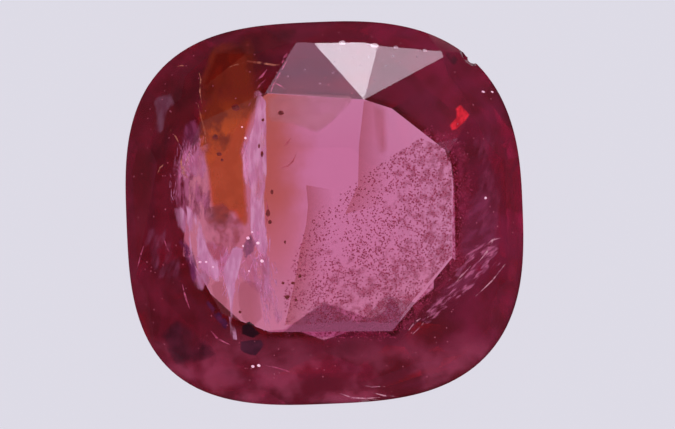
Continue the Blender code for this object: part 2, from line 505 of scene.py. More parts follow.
def scatter_tree(name):
    """Geometry Nodes that strew small grains over a guide sheet, lying one way or any way."""
    tree = bpy.data.node_groups.new(name, "GeometryNodeTree")
    new_socket = tree.interface.new_socket
    new_socket("Geometry", in_out="INPUT", socket_type="NodeSocketGeometry")
    for label, kind in GRAIN_INPUTS.items():
        new_socket(label, in_out="INPUT", socket_type=f"NodeSocket{kind}")
    new_socket("Geometry", in_out="OUTPUT", socket_type="NodeSocketGeometry")
    nodes = Tree(tree)
    outputs = nodes.node("NodeGroupInput").outputs
    given = {label: Value(nodes, outputs[label]) for label in ("Geometry", *GRAIN_INPUTS)}

    def random(low, high, offset):
        inputs = {2: low, 3: high, "Seed": given["Seed"] + offset}
        return nodes.add("FunctionNodeRandomValue", {"data_type": "FLOAT"}, inputs, output=1)

    def either_way(label, offset):
        return random(given[label] * -1.0, given[label], offset)

    where = nodes.add("GeometryNodeInputPosition")
    noise_inputs = {"Vector": where, "Scale": 1.0 / given["Patch Size"], "Detail": 2.0}
    patches = nodes.add("ShaderNodeTexNoise", None, noise_inputs)
    fade = nodes.add("GeometryNodeInputNamedAttribute", {"data_type": "FLOAT"}, {"Name": "fade"})
    kept = patches.math("LESS_THAN", given["Patch Share"]) * (fade * THINNING).clamped()
    density = given["Grains per Square Millimetre"] * (1 / MM ** 2) * kept
    points = nodes.add(
        "GeometryNodeDistributePointsOnFaces", {"distribute_method": "RANDOM"},
        {"Mesh": given["Geometry"], "Density": density, "Seed": given["Seed"]},
    )
    deeper = nodes.add("ShaderNodeCombineXYZ", None, {"Z": either_way("Depth Spread", 1)})
    points = nodes.add("GeometryNodeSetPosition", None, {"Geometry": points, "Offset": deeper})
    grain = nodes.add(
        "GeometryNodeMeshCone", {"fill_type": "NGON"},
        {"Vertices": given["Corners"], "Radius Top": 0.45, "Radius Bottom": 0.5, "Depth": 1.0},
    )
    heading = given["Direction"] + either_way("Direction Spread", 2)
    turned = {"X": either_way("Tumble", 3), "Y": either_way("Tumble", 4), "Z": heading}
    size = {
        "X": given["Length"] * random(0.35, 1.0, 5),
        "Y": given["Width"] * random(0.5, 1.0, 6),
        "Z": given["Thickness"],
    }
    strewn = nodes.add("GeometryNodeInstanceOnPoints", None, {
        "Points": points, "Instance": grain, "Rotation": nodes.add("ShaderNodeCombineXYZ", None, turned),
        "Scale": nodes.add("ShaderNodeCombineXYZ", None, size),
    })
    real = nodes.add("GeometryNodeRealizeInstances", None, {"Geometry": strewn})
    finish = nodes.add("GeometryNodeSetMaterial", None, {"Geometry": real, "Material": given["Material"]})
    nodes.node("NodeGroupOutput", None, {"Geometry": finish})
    return tree


def strew(name, guide, material, **values):
    """Strews grains over a guide sheet with the scatter tree, and keeps the result as a plain mesh."""
    tree = bpy.data.node_groups.get("strewn_grains") or scatter_tree("strewn_grains")
    holder = bpy.data.objects.new(f"{name}_guide", guide)
    bpy.context.scene.collection.objects.link(holder)
    modifier = holder.modifiers.new("grains", "NODES")
    modifier.node_group = tree
    any_way = {"Direction": 0.0, "Direction Spread": math.pi}
    defaults = {**any_way, "Patch Size": 0.3 * MM, "Patch Share": 1.0, "Corners": 5}
    given = {label.replace("_", " "): value for label, value in values.items()}
    inputs = [item for item in tree.interface.items_tree if item.in_out == "INPUT"]
    identifiers = {item.name: item.identifier for item in inputs}
    for label, value in {**defaults, **given, "Material": material}.items():
        modifier[identifiers[label]] = value
    evaluated = holder.evaluated_get(bpy.context.evaluated_depsgraph_get())
    mesh = bpy.data.meshes.new_from_object(evaluated)
    mesh.name = name
    holder.modifiers.remove(modifier)
    bpy.data.objects.remove(holder)
    return mesh


def joined(name, meshes):
    """One piece from several meshes that may not share their materials."""
    whole = bmesh.new()
    materials = []
    for mesh in meshes:
        start = len(whole.faces)
        whole.from_mesh(mesh)
        whole.faces.ensure_lookup_table()
        for material in mesh.materials:
            if material not in materials:
                materials.append(material)
        slots = [materials.index(material) for material in mesh.materials]
        for face in whole.faces[start:]:
            face.material_index = slots[face.material_index] if slots else 0
    made = bpy.data.meshes.new(name)
    whole.to_mesh(made)
    whole.free()
    for material in materials:
        made.materials.append(material)
    return finished(name, made)


class StoneSettings(bpy.types.PropertyGroup):
    """The clear body of the stone."""

    ior: FloatProperty(name="Refractive Index", description="How strongly it bends light", default=1.718)
    polish: FloatProperty(
        name="Polish Roughness", description="Fine scratches left by the polish", default=0.06, min=0, max=1
    )
    absorption: FloatVectorProperty(
        name="Absorption per Millimetre",
        description="How fast red, green and blue light die away inside the stone",
        default=(0.045, 0.36, 0.20),
        size=3,
        min=0,
    )


class InclusionSettings(bpy.types.PropertyGroup):
    """What grew or seeped into the stone."""

    stain_colour: FloatVectorProperty(
        name="Stain", description="Iron stain seen against the light", subtype="COLOR",
        size=3, min=0, max=1, default=(0.36, 0.048, 0.014),
    )
    feather_colour: FloatVectorProperty(
        name="Feather", description="Crushed crystal along the fractures", subtype="COLOR",
        size=3, min=0, max=1, default=(0.56, 0.22, 0.42),
    )
    grain_colour: FloatVectorProperty(
        name="Grain", description="Fine dark crystals", subtype="COLOR",
        size=3, min=0, max=1, default=(0.30, 0.042, 0.105),
    )
    grains_per_mm2: IntProperty(
        name="Fingerprint Grains per Square Millimetre", description="How thickly the fingerprint lies",
        default=640,
    )


class StageSettings(bpy.types.PropertyGroup):
    """The lit floor, the camera and the soft panels round the stone."""

    floor_colour: FloatVectorProperty(
        name="Floor", description="Pale translucent floor, lit from below", subtype="COLOR",
        size=3, min=0, max=1, default=(0.71, 0.694, 0.775),
    )
    camera_height: FloatProperty(
        name="Camera Height", description="Height of the camera over the floor", subtype="DISTANCE",
        unit="LENGTH", default=0.3,
    )
    lit_radius: FloatProperty(
        name="Lit Radius", description="How far round the stone the floor is evenly lit",
        subtype="DISTANCE", unit="LENGTH", default=7.7 * MM,
    )


class SPINEL_OT_stone(bpy.types.Operator):
    """Give the cut stone its clear, absorbing body"""

    bl_idname = "spinel.stone"
    bl_label = "Finish the Stone"

    def execute(self, context):
        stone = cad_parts["spinel"]
        stone.data.materials.clear()
        stone.data.materials.append(gem_material(context.scene.spinel_stone))
        return {"FINISHED"}


def gradient(tree, axis, low_px, high_px, wobble=0.0):
    """Goes from 0 to 1 between two places in the photograph, across it (X) or down it (Y)."""
    coordinates = tree.add("ShaderNodeTexCoord", output="Object")
    place = tree.add("ShaderNodeSeparateXYZ", None, {0: coordinates}, axis)
    if wobble:
        place = place + (tree.noise((2.2, 2.2, 2.2), 3.0) - 0.5) * wobble
    low, high = ((plan(px, 0).x if axis == "X" else plan(0, px).y) for px in (low_px, high_px))
    return place.step(low, high)


STAIN = Sheet(
    ((202, 84), (214, 52), (240, 44), (258, 60), (257, 96), (252, 124), (243, 150), (248, 200), (250, 224),
    (240, 226), (232, 214), (226, 226), (214, 224), (208, 200), (206, 170)), 0.5, dip=(0.2, 0.05), edge=5,
)
STAIN_GLOW = Sheet(
    ((197, 150), (198, 76), (212, 44), (246, 33), (264, 48), (264, 92), (254, 122), (238, 130), (230, 152),
    (206, 172)), 0.07, edge=18, draped=True,
)
AMBER = Sheet(
    ((203, 150), (202, 128), (212, 108), (232, 100), (252, 96), (256, 104), (250, 130), (243, 152),
    (248, 190), (251, 224), (244, 230), (234, 214), (222, 206), (212, 206), (207, 180)), 0.17, edge=6,
    draped=True,
)
SHADE = Sheet(
    ((262, 336), (268, 330), (283, 329), (325, 302), (372, 318), (385, 310), (390, 293), (403, 312),
    (398, 334)), 0.25, edge=1.5,
)
QUADS = (
    Sheet(((210, 286), (216, 280), (222, 278), (227, 296), (228, 312), (222, 310), (214, 298)), 0.7,
        edge=1.5),
    Sheet(((237, 284), (246, 280), (256, 282), (260, 296), (263, 318), (252, 328), (242, 320), (238, 304)),
        0.7, edge=1.5),
)
# Painted shade: tints that darken the window along two lines and fade away from them, and a small patch
# beside the first.
CREASE_SHADES = (
    Sheet(((364, 101), (386, 101), (396, 150), (380, 205), (345, 214), (352, 198), (358, 186), (359, 145)),
        0.9, edge=30, spine=((364, 100), (359, 145), (358, 186), (352, 198), (345, 214))),
    Sheet(((306, 185), (334, 190), (330, 250), (315, 325), (285, 325), (296, 275), (300, 251), (306, 225),
        (308, 205)), 1.0, edge=26, spine=((306, 185), (308, 205), (306, 225), (300, 251), (296, 275),
        (285, 325))),
    Sheet(((372, 104), (386, 106), (389, 150), (378, 160), (374, 130)), 1.1, edge=7),
)


def stain_tint(tree):
    patches = tree.noise((3.0, 1.6, 2.0), 4.0)
    return tree.mix(patches.step(0.4, 0.62), rgba((0.92, 0.36, 0.10)), rgba((0.66, 0.22, 0.09)))


def window_tint(tree):
    """Salmon at the left of the window, rose in its middle, and dull pink at its front and far left."""
    left = gradient(tree, "X", 322, 270, 0.5 * MM)
    low = gradient(tree, "Y", 235, 300, 0.6 * MM)
    back = gradient(tree, "Y", 245, 195, 0.5 * MM)
    salmon = tree.mix(back, rgba((0.84, 0.56, 0.42)), rgba((0.76, 0.42, 0.22)))
    warm = tree.mix(left, rgba((0.98, 0.85, 0.90)), salmon)
    warm = tree.mix(low * 0.8, warm, rgba((0.95, 0.80, 0.80)))
    return tree.mix(gradient(tree, "X", 262, 250), warm, rgba((0.86, 0.62, 0.56)))


def stain_with_painted_shade(tree):
    # The real stain's colour with painted shade: dark brown at the back under the crown, orange lower down.
    return tree.mix(gradient(tree, "Y", 92, 138), rgba(seen(116, 32, 20)), rgba(seen(176, 72, 24)))


class SPINEL_OT_films(bpy.types.Operator):
    """Add the iron stain, the faint tints that colour the light inside the stone, and painted shade in the
    window
    """

    bl_idname = "spinel.films"
    bl_label = "Add the Stain and Tints"

    def execute(self, context):
        film("iron_stain", STAIN, tint_material("iron_stain", stain_tint))
        film("warm_tint", Sheet(table_outline(), 1.3, edge=0), tint_material("warm_tint", window_tint))
        film("front_shade", SHADE, tint_material("front_shade", (0.73, 0.45, 0.61)))
        for name, sheets, tint in (
            ("crease_shade", CREASE_SHADES, (0.76, 0.57, 0.52)),
            ("quad", QUADS, (0.84, 0.72, 0.72)),
        ):
            material = tint_material(name, tint)
            for number, sheet in enumerate(sheets):
                film(f"{name}_{number}", sheet, material)
        glow = Wisps(3.0, 1.6, cover=0.84, softness=0.25, opacity=0.88)
        brown = veil_material("stain_glow", glow, stain_with_painted_shade, seen(116, 34, 18), 0.8)
        film("stain_glow", STAIN_GLOW, brown)
        amber = Wisps(3.0, 1.6, cover=0.78, softness=0.2, opacity=0.86, detail=6.0)
        orange = context.scene.spinel_inclusions.stain_colour
        film("amber", AMBER, veil_material("amber", amber, orange, seen(168, 68, 38), 0.8))
        STAIN_SHADOW.make()
        return {"FINISHED"}


class Veil(NamedTuple):
    """A pale or dark film: its form, how it is broken up, two colours as a screen shows them, its glow."""

    name: str
    outline: tuple
    depth: float
    edge: float
    wisps: Wisps
    colour: tuple
    second: tuple
    glow: float = 0.7
    draped: bool = False

    def make(self):
        material = veil_material(self.name, self.wisps, seen(*self.colour), seen(*self.second), self.glow)
        film(self.name, Sheet(self.outline, self.depth, edge=self.edge, draped=self.draped), material)


STAIN_SHADOW = Veil(
    "stain_shadow", ((204, 206), (214, 196), (230, 196), (238, 210), (232, 228), (214, 232), (205, 222)),
    0.3, 9, Wisps(4.0, 4.0, cover=0.66, softness=0.2, opacity=0.6), (128, 54, 60), (110, 40, 52), 0.8,
)
LILAC = (184, 122, 162)
PALE_LILAC = (200, 150, 186)
PINK = (172, 98, 130)
CORE = Wisps(6.5, 1.2, cover=0.68, softness=0.15, opacity=0.88, detail=10.0, warp=0.4)
TORN = Wisps(6.0, 1.0, cover=0.68, softness=0.12, opacity=0.85, detail=9.0, warp=0.3)
FEATHERS = (
    Veil("feather_main", ((255, 90), (262, 93), (267, 100), (268, 140), (268, 176), (266, 196), (266, 222),
        (269, 244), (266, 262), (256, 252), (250, 232), (249, 210), (249, 190), (243, 184), (241, 158),
        (248, 138), (253, 118)), 0.4, 2.5, CORE, LILAC, PALE_LILAC, 0.8),
    Veil("feather_main_low", ((256, 236), (268, 236), (273, 262), (278, 292), (286, 318), (276, 332),
        (267, 316), (262, 292), (256, 262)), 0.45, 8, TORN, LILAC, PINK),
    Veil("feather_left", ((186, 160), (192, 148), (200, 142), (208, 150), (210, 168), (207, 180),
        (198, 183), (188, 176)), 0.5, 5,
        Wisps(6.0, 1.3, cover=0.64, softness=0.14, opacity=0.84, detail=9.0, warp=0.4), (176, 112, 150),
        (164, 92, 130), 0.78),
    Veil("feather_left_ragged", ((171, 168), (182, 150), (196, 128), (204, 124), (212, 170), (216, 214),
        (206, 236), (192, 226), (176, 208)), 0.52, 9,
        Wisps(7.0, 2.0, cover=0.52, softness=0.1, opacity=0.85, detail=8.0), (132, 56, 86), (168, 94, 132),
        0.75),
    Veil("feather_left_low", ((176, 207), (186, 203), (196, 208), (201, 222), (208, 240), (216, 256),
        (224, 272), (226, 284), (214, 284), (202, 278), (196, 262), (193, 240), (182, 228)), 0.45, 5, CORE,
        PALE_LILAC, LILAC, 0.8),
    Veil("feather_left_tail", ((194, 262), (206, 268), (212, 282), (206, 292), (201, 304), (197, 290)), 0.3,
        4, TORN, LILAC, PINK, draped=True),
    Veil("feather_low", ((216, 252), (232, 246), (246, 240), (268, 254), (274, 300), (268, 322), (256, 300),
        (240, 286), (222, 284)), 0.9, 10, Wisps(5.0, 1.2, lean=0.2, cover=0.6, softness=0.15, opacity=0.75),
        LILAC, PINK),
    Veil("feather_low_left", ((194, 240), (206, 236), (224, 240), (238, 256), (232, 274), (216, 284),
        (200, 276), (194, 258)), 0.8, 8,
        Wisps(6.0, 1.6, lean=-0.3, cover=0.6, softness=0.15, opacity=0.75, detail=8.0), LILAC,
        (166, 88, 110)),
    Veil("stain_mottle", ((200, 214), (222, 210), (246, 214), (250, 236), (232, 252), (214, 252),
        (203, 236)), 0.7, 7, Wisps(6.0, 4.0, cover=0.56, softness=0.16, opacity=0.6, detail=9.0),
        (150, 66, 78), (170, 96, 122)),
    Veil("feather_stem", ((222, 270), (232, 248), (240, 244), (245, 252), (240, 270), (236, 286),
        (235, 308), (237, 326), (238, 340), (231, 342), (230, 320), (228, 300), (225, 286)), 0.3, 2.5,
        Wisps(7.0, 0.9, cover=0.74, softness=0.16, opacity=0.92, detail=9.0, warp=0.3), PALE_LILAC, LILAC,
        0.85),
    Veil("corner_patch", ((152, 100), (158, 96), (174, 92), (177, 104), (168, 114), (164, 134), (154, 136)),
        0.08, 5, Wisps(4.0, 1.6, cover=0.7, softness=0.2, opacity=0.72), (114, 54, 78), (128, 76, 100),
        0.65, draped=True),
    Veil("top_veil", ((265, 93), (356, 96), (345, 112), (318, 134), (292, 124), (268, 122)), 0.1, 5,
        Wisps(2.0, 2.0, cover=1.0, softness=0.3, opacity=0.36), (172, 104, 118), (182, 114, 130)),
)
DARKS = (
    Veil("dark_wedge", ((242, 324), (250, 321), (262, 332), (254, 337), (241, 333)), 0.12, 1.5,
        Wisps(2.0, 2.0, cover=1.0, opacity=0.95), (40, 4, 20), (30, 4, 16), 0.8, draped=True),
    Veil("dark_block", ((240, 339), (262, 337), (266, 345), (256, 355), (240, 350)), 0.12, 2,
        Wisps(2.0, 2.0, cover=1.0, opacity=0.8), (60, 20, 40), (74, 28, 50), 0.85, draped=True),
    Veil("dark_corner", ((158, 334), (177, 318), (198, 326), (214, 345), (220, 354), (200, 362),
        (176, 366)), 0.12, 8, Wisps(2.4, 1.6, cover=0.8, softness=0.22, opacity=0.6, detail=8.0),
        (52, 10, 26), (72, 20, 40), 0.85, draped=True),
    Veil("purple_gap", ((203, 288), (212, 300), (226, 312), (231, 322), (230, 334), (214, 316), (205, 302)),
        0.12, 4, Wisps(4.0, 3.0, cover=0.9, opacity=0.8), (66, 18, 56), (88, 28, 66), 0.85, draped=True),
    Veil("purple_streaks", ((178, 158), (180, 132), (188, 118), (200, 116), (205, 132), (200, 146),
        (190, 156)), 0.1, 6, Wisps(6.0, 1.4, lean=0.3, cover=0.58, softness=0.14, opacity=0.6, detail=9.0),
        (126, 52, 88), (96, 28, 60), 0.85, draped=True),
    Veil("purple_edge", ((178, 238), (184, 236), (194, 250), (198, 270), (200, 286), (194, 286),
        (188, 264)), 0.1, 4, Wisps(4.0, 1.0, cover=0.85, softness=0.2, opacity=0.75), (104, 34, 82),
        (84, 22, 56), 0.85, draped=True),
    Veil("purple_pocket", ((236, 262), (242, 244), (250, 232), (258, 236), (256, 252), (246, 262)), 0.2, 4,
        Wisps(6.0, 2.0, cover=0.6, softness=0.12, opacity=0.7), (138, 70, 110), (110, 52, 84), 0.8),
    Veil("notch_shadow", ((438, 54), (447, 50), (454, 53), (459, 60), (454, 67)), 0.1, 5,
        Wisps(3.0, 3.0, cover=0.95, opacity=0.75), (56, 12, 26), (75, 24, 40), 0.9, draped=True),
    # Painted reflection: a red flash that glows under the crown.
    Veil("red_flash", ((448, 133), (448, 125), (455, 118), (455, 112), (452, 104), (461, 104), (470, 115),
        (465, 123), (457, 130)), 0.08, 3, Wisps(4.0, 2.0, lean=-0.5, cover=0.9, softness=0.2, opacity=0.95),
        (220, 42, 62), (176, 26, 46), 0.85, draped=True),
)


class Fray(NamedTuple):
    """Fibres at a feather's torn edge: where, how many per square millimetre, how many millimetres long, and
    their direction and its spread, in degrees and radians."""

    outline: tuple
    thickly: float
    length: float
    direction: float
    spread: float = 0.25


FRAY_DEPTH = 0.42
FRAYS = (
    Fray(((240, 132), (250, 120), (250, 180), (252, 224), (243, 200)), 260, 0.3, 100),
    Fray(((246, 222), (266, 226), (276, 262), (282, 316), (262, 326), (252, 280)), 150, 0.36, 100),
    Fray(((178, 160), (190, 140), (200, 128), (206, 140), (196, 160), (186, 190)), 240, 0.26, 100, 0.4),
    Fray(((171, 172), (184, 178), (188, 204), (176, 208), (170, 192)), 170, 0.2, 96, 0.4),
    Fray(((190, 244), (204, 262), (212, 296), (204, 290), (196, 270)), 240, 0.26, 104, 0.35),
    Fray(((212, 262), (226, 250), (242, 252), (238, 300), (226, 300)), 200, 0.34, 84, 0.4),
    Fray(((238, 250), (262, 250), (262, 262), (250, 280), (240, 276)), 120, 0.24, 70, 0.5),
)


class SPINEL_OT_feathers(bpy.types.Operator):
    """Add the pale fractures, the dark gaps and the red flash, a painted reflection, each a broken film"""

    bl_idname = "spinel.feathers"
    bl_label = "Add the Feathers"

    def execute(self, context):
        for veil in (*FEATHERS, *DARKS):
            veil.make()
        colour = context.scene.spinel_inclusions.feather_colour
        material = crack_material("fibre", colour, [part * 0.7 for part in colour], 0.75)
        meshes = []
        for number, fray in enumerate(FRAYS):
            guide = Sheet(fray.outline, FRAY_DEPTH).mesh("fray", closed=False)
            meshes.append(strew(
                "fray", guide, material, Grains_per_Square_Millimetre=fray.thickly,
                Length=fray.length * MM, Width=0.026 * MM, Thickness=0.01 * MM,
                Direction=math.radians(fray.direction), Direction_Spread=fray.spread, Tumble=0.1,
                Depth_Spread=0.1 * MM, Seed=11 + number,
            ))
        joined("feather_fibres", meshes)
        return {"FINISHED"}


def stone_outline(share):
    """The stone's outline in the photograph's pixels, drawn in towards its middle."""
    points = [vertex.co.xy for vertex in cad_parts["spinel"].data.vertices]
    hull = [points[number] * share for number in geometry.convex_hull_2d(points)]
    spaced = [hull[0]]
    for point in hull:
        if (point - spaced[-1]).length > 0.1 * MM:
            spaced.append(point)
    return tuple(to_photo(point) for point in spaced)


def table_outline():
    """The table facet's corners, in the photograph's pixels."""
    points = [vertex.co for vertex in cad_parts["spinel"].data.vertices]
    table = [point.xy for point in points if point.z > TABLE_HEIGHT - 1e-6]
    return tuple(to_photo(table[number]) for number in geometry.convex_hull_2d(table))


DUST_PER_MM2 = 7
STREAK_LEAN = math.radians(38)
HAZE_VEILS = (
    # Painted glints: pale streaks across the lower right.
    Veil("painted_glint_streaks", ((398, 336), (420, 304), (452, 262), (470, 236), (505, 234), (508, 262),
        (480, 290), (440, 322), (408, 345)), 0.12, 10,
        Wisps(4.0, 13.0, lean=STREAK_LEAN, cover=0.44, softness=0.06, opacity=0.55), (186, 104, 142),
        (140, 60, 96), 0.75, draped=True),
    Veil("smoke", ((456, 196), (480, 180), (504, 205), (502, 250), (476, 288), (446, 312), (404, 338),
        (412, 314), (456, 262)), 0.15, 12,
        Wisps(1.8, 3.2, lean=0.7, cover=0.62, softness=0.2, opacity=0.5, detail=9.0), (130, 50, 86),
        (112, 36, 64), 0.75, draped=True),
    # Painted shade: a dark film that darkens the crown at the left and the back.
    Veil("left_back_painted_shade", ((146, 170), (156, 104), (180, 66), (220, 42), (262, 31), (300, 28), (296, 42),
        (268, 86), (230, 80), (204, 100), (194, 120), (172, 160)), 0.2, 14,
        Wisps(1.4, 0.9, cover=0.85, softness=0.3, opacity=0.55, detail=9.0), (64, 8, 18), (88, 16, 26), 0.8,
        draped=True),
    Veil("left_dust", ((134, 226), (150, 216), (176, 228), (192, 262), (186, 292), (160, 290), (140, 270)),
        0.1, 14, Wisps(9.0, 2.0, lean=-0.35, cover=0.46, softness=0.14, opacity=0.3, detail=9.0),
        (132, 66, 98), (112, 40, 68), 0.8, draped=True),
    Veil("right_dust", ((462, 130), (480, 110), (500, 140), (510, 190), (508, 236), (476, 250), (462, 210)),
        0.1, 16, Wisps(9.0, 2.0, lean=-0.35, cover=0.46, softness=0.14, opacity=0.3, detail=9.0),
        (140, 54, 88), (112, 40, 68), 0.8, draped=True),
)


def haze_with_painted_shade(tree):
    """The haze's colour with painted shade: dark red at the left under the crown, wine red at the right, rose
    at the front.
    """
    right = gradient(tree, "X", 250, 460, 0.8 * MM)
    front = gradient(tree, "Y", 320, 372, 0.8 * MM)
    red = tree.mix(right, rgba(seen(84, 12, 26)), rgba(seen(128, 34, 68)))
    return tree.mix(front, red, rgba(seen(162, 68, 100)))


class SPINEL_OT_haze(bpy.types.Operator):
    """Add the fine dust that clouds the stone under its crown, with painted shade and painted glints in it"""

    bl_idname = "spinel.haze"
    bl_label = "Add the Haze"

    def execute(self, context):
        sheet = Sheet(stone_outline(0.985), 0.25, edge=5, draped=True, hole=table_outline())
        wisps = Wisps(0.9, 0.7, lean=0.6, cover=0.8, softness=0.4, opacity=0.42, detail=9.0, warp=0.3)
        film("haze", sheet, veil_material("haze", wisps, haze_with_painted_shade, seen(108, 26, 48), 0.85), waviness=0.0)
        for veil in HAZE_VEILS:
            veil.make()
        guide = Sheet(stone_outline(0.96), 0.08, draped=True, edge=3, hole=table_outline())
        joined("dust", [strew(
            "dust", guide.mesh("dust", waviness=0.0, closed=False),
            solid_material("dust", seen(160, 84, 106), seen(128, 50, 72), 0.9),
            Grains_per_Square_Millimetre=DUST_PER_MM2, Length=0.034 * MM, Width=0.026 * MM,
            Thickness=0.02 * MM, Tumble=0.8, Depth_Spread=0.03 * MM, Patch_Size=0.9 * MM, Patch_Share=0.6,
            Seed=5,
        )])
        return {"FINISHED"}


FINGERPRINT = Sheet(
    ((318, 206), (346, 190), (386, 160), (420, 138), (447, 148), (452, 160), (452, 256), (413, 300),
    (397, 323), (340, 322), (284, 326), (284, 290), (296, 250)), 1.1, dip=(0.1, 0.08), edge=135,
    spine=((440, 150), (450, 200), (448, 255), (415, 295), (360, 310)),
)
DARK_SPECKS = (
    (215.5, 137, 6, 5), (219, 154, 5, 4), (236, 108, 8, 6), (272, 192, 3, 5), (268, 213, 5, 7),
    (270, 222, 4, 4), (222, 160, 3, 3), (240, 312, 3, 3), (287, 297, 5, 4), (293, 283, 4, 3),
    (283, 283, 3, 3), (262, 154, 3, 6), (259, 146, 2, 5), (263, 120, 3, 3), (281, 113, 6, 5),
    (285, 242, 2, 4), (300, 276, 3, 4), (296, 300, 3, 3),
)
DARK_DASHES = (
    (((291, 138), (287, 143), (285, 146)), 2.2), (((296, 154), (293, 161), (288, 166), (280, 168)), 1.8),
    (((262, 148), (260, 154), (258, 160)), 1.8), (((266, 200), (268, 212), (266, 224)), 3.0),
)
BRIGHT_BUMPS = ((342.5, 43, 7, 5), (374.5, 45.5, 8, 5))
DIM_BUMPS = ((396, 47.5, 5, 3.4), (425, 50.5, 4, 3))
PITS = (
    (340, 50, 2.4, 3), (335, 62, 2, 2), (333, 73, 2.4, 2), (369, 57, 2, 3), (360, 66, 2, 2),
    (352, 58, 1.6, 1.6), (393, 56, 3, 3), (386, 66, 2.4, 2), (400, 63, 2, 2), (374, 80, 2.4, 2),
    (367, 90, 2, 2), (417, 57, 2, 2), (288, 77, 2, 2), (305, 70, 2, 2), (320, 84, 2, 2),
)
# Painted glints: small bright grains that glow.
SPARKLES = (
    (245.5, 138, 2.4, 2.4), (242, 127, 1.6, 1.6), (248, 238, 3.4, 3), (258, 243, 3.4, 3), (243, 246, 2, 2),
    (252, 232, 2, 2), (262, 261, 3.6, 3.2), (200, 262, 3, 2), (206, 262, 2.4, 2), (213, 267, 2, 2),
    (249, 271, 2, 2), (253, 366, 3.4, 3), (259, 365, 3.4, 3.2), (485, 198, 3, 2.4), (483, 92, 4, 2.4),
    (492, 92, 3, 2),
)


class SPINEL_OT_crystals(bpy.types.Operator):
    """Add the fine dark crystals, the larger specks and the sparkles, which are painted glints"""

    bl_idname = "spinel.crystals"
    bl_label = "Add the Crystals"

    def execute(self, context):
        settings = context.scene.spinel_inclusions
        grain = settings.grain_colour
        dark = solid_material("fine_crystal", grain, [part * 0.75 for part in grain], 0.85)
        guide = FINGERPRINT.mesh("fingerprint", waviness=0.08 * MM, closed=False)
        finger = strew(
            "fingerprint", guide, dark, Grains_per_Square_Millimetre=settings.grains_per_mm2,
            Length=0.038 * MM, Width=0.038 * MM, Thickness=0.01 * MM, Tumble=0.25, Depth_Spread=0.35 * MM,
            Patch_Size=0.22 * MM, Patch_Share=0.55, Corners=7, Seed=31,
        )
        joined("fingerprint", [finger])
        bands = Wisps(2.2, 4.4, lean=STREAK_LEAN, cover=0.52, softness=0.16, opacity=0.48, detail=9.0)
        dots = Wisps(8.0, 9.0, lean=STREAK_LEAN, cover=0.5, softness=0.16, opacity=0.44)
        for name, wisps in (("fingerprint_bands", bands), ("fingerprint_dots", dots)):
            film(name, FINGERPRINT, veil_material(name, wisps, seen(152, 54, 86), seen(134, 42, 74), 0.75))
        specks = solid_material("dark_speck", seen(112, 30, 34), seen(88, 16, 20), 0.9)
        dashes = solid_material("dash", seen(160, 74, 88), seen(140, 58, 74), 1.0)
        joined("dark_specks", grains(DARK_SPECKS, 0.08 * MM, specks) + slivers(DARK_DASHES, 0.5 * MM, dashes))
        for name, spots, colour, second in (
            ("bright_bumps", BRIGHT_BUMPS, seen(206, 178, 190), seen(190, 158, 172)),
            ("dim_bumps", DIM_BUMPS, seen(168, 130, 148), seen(150, 112, 130)),
            ("pits", PITS, seen(140, 104, 122), seen(110, 70, 90)),
        ):
            joined(name, grains(spots, 0.05 * MM, solid_material(name, colour, second, 0.85)))
        bright = solid_material("sparkle", seen(250, 215, 235), seen(240, 180, 215), 0.95)
        joined("sparkles", grains(SPARKLES, 0.06 * MM, bright))
        return {"FINISHED"}


GOLD_CRACKS = (
    (((236, 66), (248, 62), (262, 64), (276, 66), (280, 65)), 2.6), (((228, 68), (238, 65), (248, 64)),
    1.8), (((177, 67), (182, 66), (188, 68)), 1.8), (((199, 73), (201, 80), (200, 92), (202, 104)), 1.6),
    (((198, 104), (201, 116), (205, 132), (206, 146)), 1.4), (((171, 130), (176, 136), (180, 144)), 1.6),
    (((184, 152), (182, 162), (184, 174), (188, 178)), 2.2), (((158, 174), (161, 167), (164, 165)), 1.4),
)
# The lines from (282, 64) and (270, 96), along the mauve facet's edge, and the line at the bottom are painted
# highlights; the rest are cracks.
PINK_CRACKS_AND_HIGHLIGHTS = (
    (((256, 82), (262, 77), (267, 70)), 2.4), (((254, 94), (260, 86), (266, 80)), 1.8), (((282, 64),
    (285, 58), (291, 50)), 3.0), (((270, 96), (273, 86), (282, 70), (290, 56)), 1.6), (((274, 83),
    (281, 87), (285, 90)), 1.8), (((246, 110), (252, 100), (255, 92)), 1.8), (((262, 364), (272, 366),
    (284, 369), (293, 373)), 1.8), (((183, 284), (186, 296), (190, 308)), 2.4), (((211, 330), (218, 338),
    (230, 344)), 2.6), (((144, 246), (141, 256), (138, 268)), 1.6), (((164, 236), (167, 246), (170, 252)),
    1.4),
)
# The first three are scuffs on the girdle; the other six, along the lower right, are painted glints.
WHITE_CRACKS_AND_GLINTS = (
    (((363, 385), (372, 386), (385, 386)), 2.2), (((340, 393), (352, 397), (366, 398), (380, 397)), 2.4),
    (((372, 392), (384, 395), (396, 396)), 2.2), (((475, 296), (492, 280), (505, 264)), 1.6), (((408, 330),
    (414, 322), (420, 318)), 2.4), (((412, 334), (420, 326), (428, 316)), 1.6), (((452, 286), (460, 276),
    (470, 266)), 1.8), (((478, 262), (486, 252), (494, 238)), 2.0), (((484, 246), (492, 240), (500, 238)),
    1.8),
)


